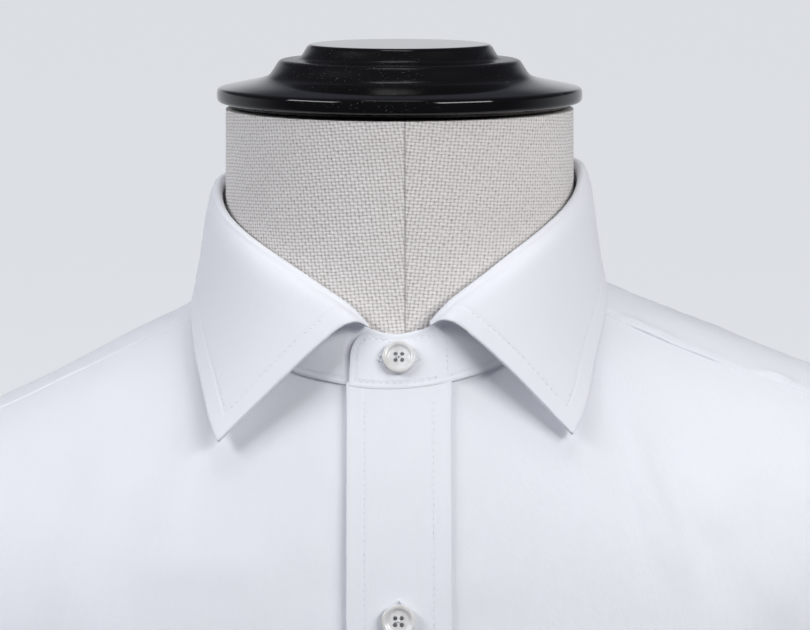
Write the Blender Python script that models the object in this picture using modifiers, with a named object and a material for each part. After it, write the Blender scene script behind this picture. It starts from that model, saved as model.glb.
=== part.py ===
"""Detachable shirt collar with its short fronts, yoke and back, buttoned round a limbless dress form.

Metres, +Z up. The wearer faces -Y, so the wearer's left side is at +X.
The origin is on the flat underside of the form's base, straight below the middle of the neck.
"""

import math
from collections import namedtuple

import bmesh
import bpy
from mathutils import Vector

MM = 0.001

# Layers
SEAM_GAP = 0.3 * MM
CLOTH = 1.0 * MM
FORM_CLEARANCE = 3.0 * MM
RESTING_GAP = 0.7 * MM
RESTING_ROW = 5.0
RESTING_REACH = 2.0
SEAM_ANGLE_GAP = 0.35
SEAM_ROW_GAP = 0.024
LEAF_THICK = 1.4 * MM
STAND_THICK = 1.4 * MM

# Dress form
COLLAR_LEVEL = 497 * MM
BASE_THICK = 17 * MM
BASE_OVERHANG = 4 * MM
BASE_ROUNDING = 4 * MM
FORM_SIDES = 48
FORM_STEP = 0.5

# Collar
STAND_BELOW_FOLD = 5.0 * MM
FRONT_ROLL = 2.0 * MM
SIDE_ROLL = 1.2 * MM
TIE_SPACE_ANGLE = 8.5
OVERLAP_RISE = 1.8 * MM
OVERLAP_END_ANGLE = 34.0
FRONT_FOOT_LIFT = 1.4 * MM
OVER_END_X = -17.5 * MM
UNDER_END_X = 15.0 * MM
STAND_CORNER = 9 * MM
STAND_CORNER_STEPS = (0.0, 0.06, 0.2, 0.45, 0.75, 1.0)
STAND_END_STEPS = (0.35, 0.7)
NECKLINE_RADIUS = 74 * MM

# Fronts
PLACKET_HALF = 17.5 * MM
PLACKET_LINES = (-PLACKET_HALF, -6 * MM, 6 * MM, PLACKET_HALF)
UNDER_EDGE_X = 14.0 * MM
JOG_START_X = 25.0 * MM
HEM_ANGLE = 60.0
ARMHOLE_BOW = 9.0
ARMHOLE_END = 0.8
FRONT_SHARES = (0, 0.04, 0.1, 0.17, 0.24, 0.31, 0.38, 0.45, 0.53, 0.61, 0.69, 0.77, 0.85, 0.93, 1.0)
BUTTON_PITCH = 76 * MM
BUTTON_COUNT = 3
BUTTON_RADIUS = 5.6 * MM
BUTTON_THICK = 2.4 * MM
BUTTON_DISH = 0.7 * MM

# The form's rings, from the neck down. Sizes in mm, levels in mm from COLLAR_LEVEL;
# squareness pushes the four diagonals outwards.
Ring = namedtuple("Ring", "row half_width front back side_level front_level back_level squareness")
FORM_RINGS = [
    Ring(0, 61.6, 61.6, 61.6, 77.0, 77.0, 77.0, 0.0),
    Ring(1, 61.8, 62.0, 62.0, 52.0, 46.0, 54.0, 0.0),
    Ring(2, 62.6, 64.0, 64.0, 28.0, 8.0, 31.0, 0.0),
    Ring(3, 66.0, 71.0, 69.0, 11.0, -13.0, 14.0, 0.0),
    Ring(4, 95.0, 84.0, 88.0, -2.0, -36.0, -1.0, 0.0),
    Ring(5, 135.0, 96.0, 104.0, -19.0, -62.0, -27.0, 0.01),
    Ring(6, 180.0, 105.0, 115.0, -39.5, -92.0, -60.0, 0.02),
    Ring(7, 204.0, 111.0, 121.0, -60.0, -119.0, -92.0, 0.02),
    Ring(8, 212.0, 115.0, 125.0, -86.0, -144.0, -121.0, 0.03),
    Ring(9, 203.0, 118.0, 126.0, -122.0, -168.0, -149.0, 0.04),
    Ring(10, 187.0, 119.0, 125.0, -160.0, -192.0, -178.0, 0.05),
    Ring(11, 178.0, 118.0, 121.0, -203.0, -220.0, -212.0, 0.05),
    Ring(12, 169.0, 113.0, 114.0, -256.0, -262.0, -258.0, 0.05),
    Ring(13, 155.0, 104.0, 102.0, -318.0, -320.0, -318.0, 0.05),
    Ring(14, 148.0, 99.0, 96.0, -378.0, -378.0, -378.0, 0.05),
    Ring(15, 154.0, 101.0, 102.0, -432.0, -432.0, -432.0, 0.05),
    Ring(16, 162.0, 105.0, 110.0, -479.7, -479.7, -479.7, 0.05),
]
NECKLINE_ROW = 3.0
YOKE_ROW = 6.4
FRONT_HEM_ROW = 12.3
BACK_HEM_ROW = 11.6
BACK_HALF_ANGLE = 68.0
BACK_ARMHOLE_BOW = 7.0
BACK_HEM_INSET = 3.0

# Where the yoke meets the fronts, in degrees from the front, for each row of the form
YokeSeam = namedtuple("YokeSeam", "row wearers_right wearers_left")
YOKE_SEAM = [
    YokeSeam(3.0, 74.0, 68.0),
    YokeSeam(4.0, 80.0, 70.5),
    YokeSeam(5.2, 83.0, 75.0),
    YokeSeam(6.4, 84.0, 78.0),
]

# The shoulders and the garment slope a little, up towards the wearer's left: share of GARMENT_LEAN by row
GARMENT_LEAN = 0.045
Lean = namedtuple("Lean", "row share")
LEAN = [Lean(0, 0.0), Lean(2, 1.0), Lean(3, 1.0), Lean(7, 1.0), Lean(10, 0.2), Lean(11, 0.0), Lean(16, 0.0)]

# The fold round the top of the collar: polar angle from the front, radius and level in mm
FoldRow = namedtuple("FoldRow", "angle radius level")
FOLD = [
    FoldRow(-9.0, 67.0, 13.0),
    FoldRow(0.0, 67.0, 10.3),
    FoldRow(9.0, 67.0, 13.0),
    FoldRow(19.0, 66.5, 20.0),
    FoldRow(35.0, 65.8, 30.2),
    FoldRow(52.0, 64.9, 38.2),
    FoldRow(68.0, 64.2, 44.4),
    FoldRow(90.0, 63.6, 52.8),
    FoldRow(112.0, 64.2, 54.8),
    FoldRow(136.0, 65.0, 56.5),
    FoldRow(158.0, 65.6, 57.3),
    FoldRow(180.0, 65.8, 57.5),
    FoldRow(202.0, 65.6, 57.3),
]

# The leaf's free edge, laid on the garment's outer face: angle, row and how far it stands off, in mm
LeafRow = namedtuple("LeafRow", "angle row stand_off")
LEAF_EDGE = [
    LeafRow(20.0, 4.6, 8.0),
    LeafRow(32.6, 4.27, 5.5),
    LeafRow(46.5, 3.85, 2.2),
    LeafRow(67.5, 3.4, 1.4),
    LeafRow(88.0, 3.2, 1.1),
    LeafRow(110.0, 3.2, 1.0),
    LeafRow(140.0, 3.25, 1.0),
    LeafRow(180.0, 3.35, 1.0),
    LeafRow(220.0, 3.25, 1.0),
]
LEAF_TIP_ANGLE = 32.6
TIP_LEVELLING = 0.03
LEAF_COLUMNS = 24
LEAF_SHARES = (0.0, 0.07, 0.16, 0.28, 0.42, 0.58, 0.74, 0.88, 1.0)
ROLL_TURNS = (180, 130, 90, 45)
LEAF_BOW_FRONT = 4.0 * MM
LEAF_BOW_BACK = 1.0 * MM
FRONT_EDGE_CURVE = 6.0 * MM

# The turned cap, from its underside up: radius and height in mm
CapRow = namedtuple("CapRow", "radius height")
CAP = [
    CapRow(60.5, 0.0),
    CapRow(60.5, 1.0),
    CapRow(63.0, 1.4),
    CapRow(64.3, 3.0),
    CapRow(64.5, 5.0),
    CapRow(63.4, 7.0),
    CapRow(56.0, 8.7),
    CapRow(45.0, 11.4),
    CapRow(43.6, 13.6),
    CapRow(42.0, 15.2),
    CapRow(39.5, 15.9),
    CapRow(34.6, 16.4),
    CapRow(33.2, 18.6),
    CapRow(31.6, 20.6),
    CapRow(30.6, 21.0),
]
CAP_STEPS = 40


def smooth(table, key):
    """The table's other columns at a value of its first column, on a smooth curve through its rows."""
    last = len(table) - 1
    i = max(0, min(last - 1, sum(row[0] <= key for row in table) - 1))
    before, low, high, after = (table[max(0, min(last, i + k))] for k in (-1, 0, 1, 2))
    span = high[0] - low[0]
    share = max(0.0, min(1.0, (key - low[0]) / span))

    def slope(left, right, column):
        width = right[0] - left[0]
        return 0.0 if width == 0 else (right[column] - left[column]) / width * span

    values = []
    for column in range(1, len(low)):
        leaving = slope(before, high, column)
        arriving = slope(low, after, column)
        s2, s3 = share * share, share * share * share
        values.append(
            (2 * s3 - 3 * s2 + 1) * low[column]
            + (s3 - 2 * s2 + share) * leaving
            + (3 * s2 - 2 * s3) * high[column]
            + (s3 - s2) * arriving
        )
    return values


def ease(value):
    value = max(0.0, min(1.0, value))
    return value * value * (3 - 2 * value)


def form_point(angle, row):
    """A point on the dress form, angle in degrees from the front towards the wearer's left."""
    ring = Ring(row, *smooth(FORM_RINGS, row))
    turn = math.radians(angle)
    across, ahead = math.sin(turn), math.cos(turn)
    swell = 1 + ring.squareness * math.sin(2 * turn) ** 2
    depth, end_level = (ring.front, ring.front_level) if ahead >= 0 else (ring.back, ring.back_level)
    level = ring.side_level + (end_level - ring.side_level) * ahead * ahead
    level += GARMENT_LEAN * smooth(LEAN, row)[0] * ring.half_width * across
    point = Vector((ring.half_width * across * swell, -depth * ahead * swell, level)) * MM
    point.z += COLLAR_LEVEL
    return point


def form_normal(angle, row):
    turn_step, row_step = 1.0, 0.04
    along = form_point(angle + turn_step, row) - form_point(angle - turn_step, row)
    down = form_point(angle, row + row_step) - form_point(angle, row - row_step)
    return down.cross(along).normalized()


def clearance(angle, row):
    """The air under the cloth, which rests on the shoulders and stands off the form elsewhere."""
    resting = ease(1 - abs(row - RESTING_ROW) / RESTING_REACH) * math.sin(math.radians(angle)) ** 2
    return FORM_CLEARANCE + (RESTING_GAP - FORM_CLEARANCE) * resting


def cloth_point(angle, row, out=0.0):
    """A point of the garment: out is measured from the middle of a single layer of cloth."""
    return form_point(angle, row) + form_normal(angle, row) * (clearance(angle, row) + CLOTH / 2 + out)


def angle_at(across, row):
    """The angle at which the form, at that row, lies that far from its middle plane."""
    return math.degrees(math.asin(across / (smooth(FORM_RINGS, row)[0] * MM + FORM_CLEARANCE)))


def polar(angle, radius, level):
    turn = math.radians(angle)
    return Vector((radius * math.sin(turn), -radius * math.cos(turn), level))


def new_object(name, mesh, material, smooth_angle=40):
    obj = bpy.data.objects.new(name, mesh)
    parts.objects.link(obj)
    mesh.materials.append(material)
    mesh.shade_smooth()
    mesh.set_sharp_from_angle(angle=math.radians(smooth_angle))
    return obj


def grid_mesh(name, rows, ring=False):
    """An open sheet, or a tube if ring, through rows of points."""
    work = bmesh.new()
    points = [[work.verts.new(point) for point in row] for row in rows]
    columns = len(rows[0])
    for upper, lower in zip(points, points[1:]):
        for i in range(columns if ring else columns - 1):
            after = (i + 1) % columns
            work.faces.new((upper[i], lower[i], lower[after], upper[after]))
    if ring:
        work.faces.new(points[0])
        work.faces.new(reversed(points[-1]))
    bmesh.ops.recalc_face_normals(work, faces=work.faces)
    mesh = bpy.data.meshes.new(name)
    work.to_mesh(mesh)
    work.free()
    return mesh


def wall(name, rows, thickness, material):
    """A cloth wall of even thickness, its middle on the rows of points."""
    obj = new_object(name, grid_mesh(name, rows), material)
    shell = obj.modifiers.new("thickness", "SOLIDIFY")
    shell.thickness = thickness
    shell.offset = 0.0
    shell.use_even_offset = True
    shell.use_rim = True
    return obj


def plain_material(name, colour, roughness, metallic=0.0):
    material = bpy.data.materials.new(name)
    material.use_nodes = True
    shader = material.node_tree.nodes["Principled BSDF"]
    shader.inputs["Base Color"].default_value = (*colour, 1.0)
    shader.inputs["Roughness"].default_value = roughness
    shader.inputs["Metallic"].default_value = metallic
    return material


def make_form():
    rows = []
    for step in range(int((len(FORM_RINGS) - 1) / FORM_STEP) + 1):
        rows.append([form_point(360 * i / FORM_SIDES, step * FORM_STEP) for i in range(FORM_SIDES)])
    new_object("form_body", grid_mesh("form_body", rows, ring=True), LINEN)


def make_base():
    outline = []
    for i in range(FORM_SIDES):
        edge = form_point(360 * i / FORM_SIDES, len(FORM_RINGS) - 1)
        outward = Vector((edge.x, edge.y, 0)).normalized()
        outline.append(Vector((edge.x, edge.y, 0)) + outward * BASE_OVERHANG)
    levels = [
        (0.0, BASE_ROUNDING / 2),
        (BASE_ROUNDING / 2, 0.0),
        (BASE_THICK - BASE_ROUNDING, 0.0),
        (BASE_THICK, BASE_ROUNDING),
    ]
    rows = []
    for level, inset in levels:
        rows.append([point - point.normalized() * inset + Vector((0, 0, level)) for point in outline])
    new_object("form_base", grid_mesh("form_base", rows, ring=True), BLACK_WOOD)


def make_cap():
    bottom = form_point(0, 0).z + SEAM_GAP
    work = bmesh.new()
    profile = [(0.0, CAP[-1].height)] + [(row.radius, row.height) for row in reversed(CAP)] + [(0.0, 0.0)]
    points = [work.verts.new((radius * MM, 0, bottom + height * MM)) for radius, height in profile]
    for upper, lower in zip(points, points[1:]):
        work.edges.new((upper, lower))
    mesh = bpy.data.meshes.new("form_cap")
    work.to_mesh(mesh)
    work.free()
    obj = new_object("form_cap", mesh, BLACK_WOOD)
    turned = obj.modifiers.new("turned", "SCREW")
    turned.steps = turned.render_steps = CAP_STEPS
    turned.use_merge_vertices = True
    turned.merge_threshold = 0.00005
    turned.use_smooth_shade = True


def overlap_rise(across):
    """How far a layer at the front is pushed out where it passes over the layer beneath."""
    return ease((JOG_START_X - across) / (JOG_START_X - PLACKET_HALF))


def yoke_seam(row, side):
    """The angle of the yoke seam; side is 1 on the wearer's left and -1 on the right."""
    wearers_right, wearers_left = smooth(YOKE_SEAM, row)
    return wearers_left if side > 0 else wearers_right


def front_columns(side):
    """The lines that run down a front: straight ones, each at a distance across, then a fan of angles.

    Each is (across, None, None, row at top) or (None, angle at top, angle at hem, row at top).
    """
    strip = PLACKET_LINES if side > 0 else (-UNDER_EDGE_X, 0.0, UNDER_EDGE_X)
    columns = [(across, None, None, NECKLINE_ROW) for across in (*strip, JOG_START_X)]
    first_top = angle_at(JOG_START_X, NECKLINE_ROW)
    first_hem = angle_at(JOG_START_X, FRONT_HEM_ROW)
    neck_columns, seam_columns = 4, 6
    for i in range(1, neck_columns + seam_columns + 1):
        hem = first_hem + (HEM_ANGLE - first_hem) * i / (neck_columns + seam_columns)
        along_neck = min(1.0, i / neck_columns)
        row = NECKLINE_ROW + (YOKE_ROW - NECKLINE_ROW) * max(0, i - neck_columns) / seam_columns
        seam = yoke_seam(row, side) - SEAM_ANGLE_GAP
        top = first_top + (seam - first_top) * along_neck
        columns.append((None, top, hem, row))
    return columns


def armhole_bow(share):
    """Degrees by which the side edge of a front is cut inwards below the shoulder."""
    return ARMHOLE_BOW * math.sin(math.pi * share / ARMHOLE_END) ** 2 if share < ARMHOLE_END else 0.0


def make_front(name, side):
    columns = front_columns(side)
    rows = []
    for share in FRONT_SHARES:
        line = []
        for across, top, hem, top_row in columns:
            row = top_row + (FRONT_HEM_ROW - top_row) * share
            if across is None:
                angle = top + (hem - top) * share - armhole_bow(share) * (hem / HEM_ANGLE) ** 3
                rise = 0.0
            else:
                angle = angle_at(across, row)
                rise = overlap_rise(across) * (CLOTH + SEAM_GAP) if side > 0 else 0.0
            line.append(cloth_point(side * angle, row, rise))
        rows.append(line)
    wall(name, rows, CLOTH, SHIRT)


def make_placket():
    rows = []
    out = 2 * (CLOTH + SEAM_GAP)
    for share in FRONT_SHARES:
        row = NECKLINE_ROW + (FRONT_HEM_ROW - NECKLINE_ROW) * share
        rows.append([cloth_point(angle_at(across, row), row, out) for across in PLACKET_LINES])
    wall("placket", rows, CLOTH, SHIRT)


def make_yoke():
    rows = []
    row_count, column_count = 7, 36
    for i in range(row_count + 1):
        row = NECKLINE_ROW + (YOKE_ROW - NECKLINE_ROW) * i / row_count
        start = yoke_seam(row, 1) + SEAM_ANGLE_GAP
        sweep = 360 - yoke_seam(row, -1) - SEAM_ANGLE_GAP - start
        angles = [start + sweep * k / column_count for k in range(column_count + 1)]
        rows.append([cloth_point(angle, row) for angle in angles])
    wall("yoke", rows, CLOTH, SHIRT)


def make_back():
    rows = []
    row_count, column_count = 11, 18
    for i in range(row_count + 1):
        share = i / row_count
        row = YOKE_ROW + SEAM_ROW_GAP + (BACK_HEM_ROW - YOKE_ROW) * share
        half = BACK_HALF_ANGLE - BACK_ARMHOLE_BOW * math.sin(math.pi * share) - BACK_HEM_INSET * share
        angles = [180 - half + 2 * half * k / column_count for k in range(column_count + 1)]
        rows.append([cloth_point(angle, row) for angle in angles])
    wall("back", rows, CLOTH, SHIRT)


def stand_rise(angle):
    """How far the collar's front end on the wearer's left is pushed out over the other end."""
    start = OVERLAP_END_ANGLE - 20
    return OVERLAP_RISE * (1 - ease((angle - start) / (OVERLAP_END_ANGLE - start))) if angle < 180 else 0.0


def fold_point(angle, over):
    """The fold's middle line. over is False only on the end that passes underneath."""
    mirrored = angle if angle <= 180 else 360 - angle
    radius, level = smooth(FOLD, mirrored)
    rise = stand_rise(angle) if over else 0.0
    point = polar(angle, radius * MM + rise, COLLAR_LEVEL + level * MM)
    point.z += GARMENT_LEAN * point.x
    return point


def neck_point(angle, over):
    rise = stand_rise(angle) if over else 0.0
    base = cloth_point(angle, NECKLINE_ROW)
    outward = Vector((base.x, base.y, 0)).normalized()
    from_front = min(angle % 360, 360 - angle % 360)
    lift = FRONT_FOOT_LIFT * (1 - ease((from_front - 16) / 18))
    return base + outward * rise + Vector((0, 0, CLOTH / 2 + SEAM_GAP + lift))


def make_stand():
    over_end = math.degrees(math.asin(OVER_END_X / NECKLINE_RADIUS))
    under_end = 360 + math.degrees(math.asin(UNDER_END_X / NECKLINE_RADIUS))
    reach = math.degrees(STAND_CORNER / NECKLINE_RADIUS)
    start, end = over_end + reach, under_end - reach
    folds = [fold for fold, edge, share in leaf_columns()]
    angles = [over_end + reach * share for share in STAND_CORNER_STEPS]
    angles += [start + (folds[0] - start) * share for share in STAND_END_STEPS] + folds
    angles += [end + (folds[-1] - end) * share for share in reversed(STAND_END_STEPS)]
    angles += [under_end - reach * share for share in reversed(STAND_CORNER_STEPS)]
    rows = []
    for up in (0.0, 0.25, 0.5, 0.75, 1.0):
        line = []
        for angle in angles:
            over = angle < 180
            foot = neck_point(angle, over)
            top = fold_point(angle, over) - Vector((0, 0, STAND_BELOW_FOLD))
            inset = max(0.0, 1 - min(angle - over_end, under_end - angle) / reach)
            rounding = STAND_CORNER * (1 - math.sqrt(max(0.0, 1 - inset * inset)))
            height = (top - foot).length
            line.append(foot + (top - foot) * (up * (1 - rounding / height)))
        rows.append(line)
    wall("collar_stand", rows, STAND_THICK, SHIRT)


def leaf_columns():
    """Pairs of angles, at the fold and at the free edge, from the wearer's left front round to the right."""
    half = LEAF_COLUMNS
    pairs = []
    for i in range(-half, half + 1):
        share = abs(i) / half
        share = 1 - (1 - share) ** 1.15
        fold = 180 - (180 - TIE_SPACE_ANGLE) * share
        edge = 180 - (180 - LEAF_TIP_ANGLE) * share
        pairs.append((fold, edge, share) if i <= 0 else (360 - fold, 360 - edge, share))
    return pairs


def leaf_profile(fold_angle, edge_angle, share):
    """One section of the leaf, from its seam on the stand, over the roll and down to its free edge."""
    fold = fold_point(fold_angle, True)
    outward = polar(fold_angle, 1.0, 0.0)
    from_front = min(fold_angle % 360, 360 - fold_angle % 360)
    radius = FRONT_ROLL + (SIDE_ROLL - FRONT_ROLL) * ease((from_front - 20) / 45)
    seam = fold + Vector((0, 0, 1.5 * SEAM_GAP - STAND_BELOW_FOLD))
    section = [seam]
    centre = fold + outward * radius - Vector((0, 0, radius))
    for turn in ROLL_TURNS:
        bend = math.radians(turn)
        section.append(centre + outward * (radius * math.cos(bend)) + Vector((0, 0, radius * math.sin(bend))))
    mirrored = edge_angle if edge_angle <= 180 else 360 - edge_angle
    row, stand_off = smooth(LEAF_EDGE, mirrored)
    edge = cloth_point(edge_angle, row, CLOTH / 2 + LEAF_THICK / 2 + stand_off * MM)
    edge.z -= TIP_LEVELLING * edge.x * ease((share - 0.6) / 0.4)
    begin = centre + outward * radius
    across = edge - begin
    sideways = (fold_point(fold_angle + 1, True) - fold_point(fold_angle - 1, True)).normalized()
    normal = across.cross(sideways).normalized()
    if normal.dot(outward) < 0:
        normal.negate()
    bow = LEAF_BOW_BACK + (LEAF_BOW_FRONT - LEAF_BOW_BACK) * ease((share - 0.45) / 0.55)
    for down in LEAF_SHARES:
        curve = 2.1 * down ** 0.4 * (1 - down) ** 1.2
        upward = Vector((0, 0, FRONT_EDGE_CURVE * curve * ease((share - 0.7) / 0.3)))
        section.append(begin + across * down + normal * bow * curve + upward)
    return section


def make_leaf():
    sections = [leaf_profile(*pair) for pair in leaf_columns()]
    rows = [list(line) for line in zip(*sections)]
    wall("collar_leaf", rows, LEAF_THICK, SHIRT)


def make_button(name, centre, normal):
    """A shirt button with a dished face, its back towards the cloth."""
    profile = [
        (0.0, 0.0),
        (BUTTON_RADIUS * 0.8, 0.0),
        (BUTTON_RADIUS, BUTTON_THICK * 0.4),
        (BUTTON_RADIUS, BUTTON_THICK * 0.7),
        (BUTTON_RADIUS * 0.88, BUTTON_THICK),
        (BUTTON_RADIUS * 0.68, BUTTON_THICK - BUTTON_DISH),
        (0.0, BUTTON_THICK - BUTTON_DISH),
    ]
    work = bmesh.new()
    points = [work.verts.new((radius, 0, height)) for radius, height in reversed(profile)]
    for upper, lower in zip(points, points[1:]):
        work.edges.new((upper, lower))
    mesh = bpy.data.meshes.new(name)
    work.to_mesh(mesh)
    work.free()
    obj = new_object(name, mesh, PEARL)
    obj.location = centre
    obj.rotation_mode = "QUATERNION"
    obj.rotation_quaternion = normal.to_track_quat("Z", "Y")
    turned = obj.modifiers.new("turned", "SCREW")
    turned.steps = turned.render_steps = 14
    turned.use_merge_vertices = True
    turned.merge_threshold = 0.00005


def make_buttons():
    angle = 0.0
    foot, top = neck_point(angle, True), fold_point(angle, True) - Vector((0, 0, STAND_BELOW_FOLD))
    upward = (top - foot).normalized()
    normal = Vector((0, -1, 0)) - upward * Vector((0, -1, 0)).dot(upward)
    normal.normalize()
    middle = (foot + top) / 2
    make_button("button_collar", middle + normal * (STAND_THICK / 2 + SEAM_GAP), normal)
    top_level = neck_point(0, True).z
    for number in range(1, BUTTON_COUNT + 1):
        wanted = top_level - BUTTON_PITCH * number
        row = NECKLINE_ROW
        while form_point(0, row).z > wanted:
            row += 0.01
        normal = form_normal(0, row)
        out = 2 * (CLOTH + SEAM_GAP) + CLOTH / 2 + SEAM_GAP
        make_button(f"button_{number}", cloth_point(0, row, out), normal)


for old in list(bpy.data.objects):
    bpy.data.objects.remove(old)
parts = bpy.data.collections.new("shirt_collar_on_form")
bpy.context.scene.collection.children.link(parts)

LINEN = plain_material("linen", (0.62, 0.59, 0.55), 0.9)
BLACK_WOOD = plain_material("black_wood", (0.012, 0.011, 0.011), 0.22)
SHIRT = plain_material("white_twill", (0.86, 0.87, 0.9), 0.75)
PEARL = plain_material("pearl_button", (0.85, 0.84, 0.8), 0.25)

make_form()
make_base()
make_cap()
make_front("front_left", 1)
make_front("front_right", -1)
make_placket()
make_yoke()
make_back()
make_stand()
make_leaf()
make_buttons()
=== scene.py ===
import math

import bmesh
import bpy
import numpy
from mathutils import Matrix, Vector, noise
from mathutils.bvhtree import BVHTree
from mathutils.kdtree import KDTree


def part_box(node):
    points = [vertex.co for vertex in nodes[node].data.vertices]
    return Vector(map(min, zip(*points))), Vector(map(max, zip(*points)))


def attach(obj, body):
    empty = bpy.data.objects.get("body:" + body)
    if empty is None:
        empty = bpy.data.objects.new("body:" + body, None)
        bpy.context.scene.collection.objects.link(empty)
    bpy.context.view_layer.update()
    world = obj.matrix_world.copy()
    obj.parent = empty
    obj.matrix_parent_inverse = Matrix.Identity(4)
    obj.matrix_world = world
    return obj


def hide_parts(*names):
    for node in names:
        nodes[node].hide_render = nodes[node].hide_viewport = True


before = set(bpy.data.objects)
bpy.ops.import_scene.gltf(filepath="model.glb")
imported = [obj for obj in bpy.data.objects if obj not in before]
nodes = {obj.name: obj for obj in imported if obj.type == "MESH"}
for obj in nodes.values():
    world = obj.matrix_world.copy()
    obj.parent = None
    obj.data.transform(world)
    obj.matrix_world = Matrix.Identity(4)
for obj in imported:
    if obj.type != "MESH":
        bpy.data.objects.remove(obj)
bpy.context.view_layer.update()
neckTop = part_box("form_body")[1].z
mm = 0.001
print("frame loaded:", len(nodes), "solids")


# Small helpers

def ease(value):
    value = max(0.0, min(1.0, value))
    return value * value * (3 - 2 * value)


def deselectAll():
    for item in bpy.context.selected_objects:
        item.select_set(False)


def makeActive(piece):
    deselectAll()
    piece.select_set(True)
    bpy.context.view_layer.objects.active = piece


def applyModifiers(piece):
    makeActive(piece)
    for modifier in list(piece.modifiers):
        bpy.ops.object.modifier_apply(modifier=modifier.name)


def subdivide(piece, levels):
    rounding = piece.modifiers.new("rounding", "SUBSURF")
    rounding.levels = rounding.render_levels = levels
    applyModifiers(piece)


def roundWall(piece, levels):
    # The flat ends come off while the wall is rounded, then close again as one face each
    work = bmesh.new()
    work.from_mesh(piece.data)
    ends = min(v.co.z for v in work.verts), max(v.co.z for v in work.verts)
    flats = [face for face in work.faces if any(all(abs(v.co.z - end) < mm for v in face.verts) for end in ends)]
    bmesh.ops.delete(work, geom=flats, context="FACES")
    work.to_mesh(piece.data)
    work.free()
    subdivide(piece, levels)
    work = bmesh.new()
    work.from_mesh(piece.data)
    rims = [edge for edge in work.edges if edge.is_boundary]
    bmesh.ops.holes_fill(work, edges=rims, sides=0)
    for edge in rims:
        edge.smooth = False
    bmesh.ops.recalc_face_normals(work, faces=work.faces)
    work.to_mesh(piece.data)
    work.free()


def applyPlace(piece):
    makeActive(piece)
    bpy.ops.object.transform_apply(location=True, rotation=True, scale=True)


def finishPiece(piece, material, slot, *replaced):
    piece.data.materials.clear()
    piece.data.materials.append(material)
    piece.data.shade_smooth()
    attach(piece, "root")
    if replaced:
        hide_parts(*replaced)
    return piece


def copyOfNode(node, name, crease):
    # The solid's skin with its doubles merged, its triangles paired and its rim held by a crease
    work = bmesh.new()
    work.from_mesh(nodes[node].data)
    bmesh.ops.remove_doubles(work, verts=work.verts, dist=2e-6)
    bmesh.ops.join_triangles(
        work, faces=work.faces, cmp_seam=False, cmp_sharp=False, cmp_uvs=False, cmp_vcols=False,
        cmp_materials=False, angle_face_threshold=math.radians(55), angle_shape_threshold=math.radians(120))
    creases = work.edges.layers.float.new("crease_edge")
    rim = {edge for edge in work.edges if edge.calc_face_angle(0) > math.radians(58)}
    loose = True
    while loose:  # a sharp run that ends in the middle of the cloth is no rim
        loose = {edge for edge in rim if any(sum(e in rim for e in v.link_edges) == 1 for v in edge.verts)}
        rim -= loose
    corners = work.verts.layers.float.new("crease_vert")
    for edge in rim:
        edge[creases] = crease
        for vertex in edge.verts:
            vertex[corners] = 0.9 if sum(e in rim for e in vertex.link_edges) > 2 else 0.0
    mesh = bpy.data.meshes.new(name)
    work.to_mesh(mesh)
    work.free()
    piece = bpy.data.objects.new(name, mesh)
    bpy.context.scene.collection.objects.link(piece)
    return piece


def treeOf(piece):
    mesh = piece.data
    return BVHTree.FromPolygons([v.co for v in mesh.vertices], [p.vertices for p in mesh.polygons])


# Shader maths: a wrapped socket adds its own Math nodes

class Wire:
    def __init__(self, finish, socket):
        self.finish = finish
        self.socket = socket

    def maths(self, operation, *others):
        return self.finish.maths(operation, self, *others)

    def __add__(self, other): return self.finish.maths("ADD", self, other)
    def __sub__(self, other): return self.finish.maths("SUBTRACT", self, other)
    def __mul__(self, other): return self.finish.maths("MULTIPLY", self, other)
    def __truediv__(self, other): return self.finish.maths("DIVIDE", self, other)
    def __pow__(self, other): return self.finish.maths("POWER", self, other)
    def __radd__(self, other): return self.finish.maths("ADD", other, self)
    def __rsub__(self, other): return self.finish.maths("SUBTRACT", other, self)
    def __rmul__(self, other): return self.finish.maths("MULTIPLY", other, self)


class Finish:
    def __init__(self, owner, shader="Principled BSDF", **fixed):
        self.owner = owner
        owner.use_nodes = True
        self.tree = owner.node_tree
        self.shader = self.tree.nodes[shader]
        self.give(self.shader, fixed)

    def give(self, node, values):
        for name, value in values.items():
            socket = node.inputs[name if isinstance(name, int) else name.replace("_", " ")]
            if isinstance(value, Wire):
                self.tree.links.new(value.socket, socket)
            else:
                socket.default_value = value

    def maths(self, operation, *values):
        return self.node("ShaderNodeMath", {"operation": operation}, dict(enumerate(values)))

    def node(self, kind, settings, values, output=0):
        node = self.tree.nodes.new(kind)
        for name, value in settings.items():
            setattr(node, name, value)
        self.give(node, values)
        return Wire(self, node.outputs[output])

    def mixColours(self, share, first, second, blend="MIX"):
        return self.node("ShaderNodeMix", {"data_type": "RGBA", "blend_type": blend},
                         {0: share, 6: first, 7: second}, 2)

    def noise(self, where, scale, detail=2.0, roughness=0.5):
        return self.node("ShaderNodeTexNoise", {}, {
            "Vector": where, "Scale": scale, "Detail": detail, "Roughness": roughness})

    def stretched(self, where, scale):
        return self.node("ShaderNodeMapping", {}, {"Vector": where, "Scale": scale})

    def clamp(self, value, low, high):
        return self.node("ShaderNodeMapRange", {"interpolation_type": "SMOOTHSTEP"}, {
            0: value, 1: low, 2: high, 3: 0.0, 4: 1.0})

    def split(self, where):
        node = self.tree.nodes.new("ShaderNodeSeparateXYZ")
        self.tree.links.new(where.socket, node.inputs[0])
        return [Wire(self, socket) for socket in node.outputs]

    def flatPlace(self):
        return self.node("ShaderNodeUVMap", {"uv_map": "flat"}, {})

    def objectPlace(self):
        return self.node("ShaderNodeTexCoord", {}, {}, 3)

    def attribute(self, name):
        return self.node("ShaderNodeAttribute", {"attribute_name": name}, {}, 2)

    def relief(self, height, distance, strength=1.0):
        bump = self.node("ShaderNodeBump", {}, {"Height": height, "Distance": distance, "Strength": strength})
        self.tree.links.new(bump.socket, self.shader.inputs["Normal"])


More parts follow.
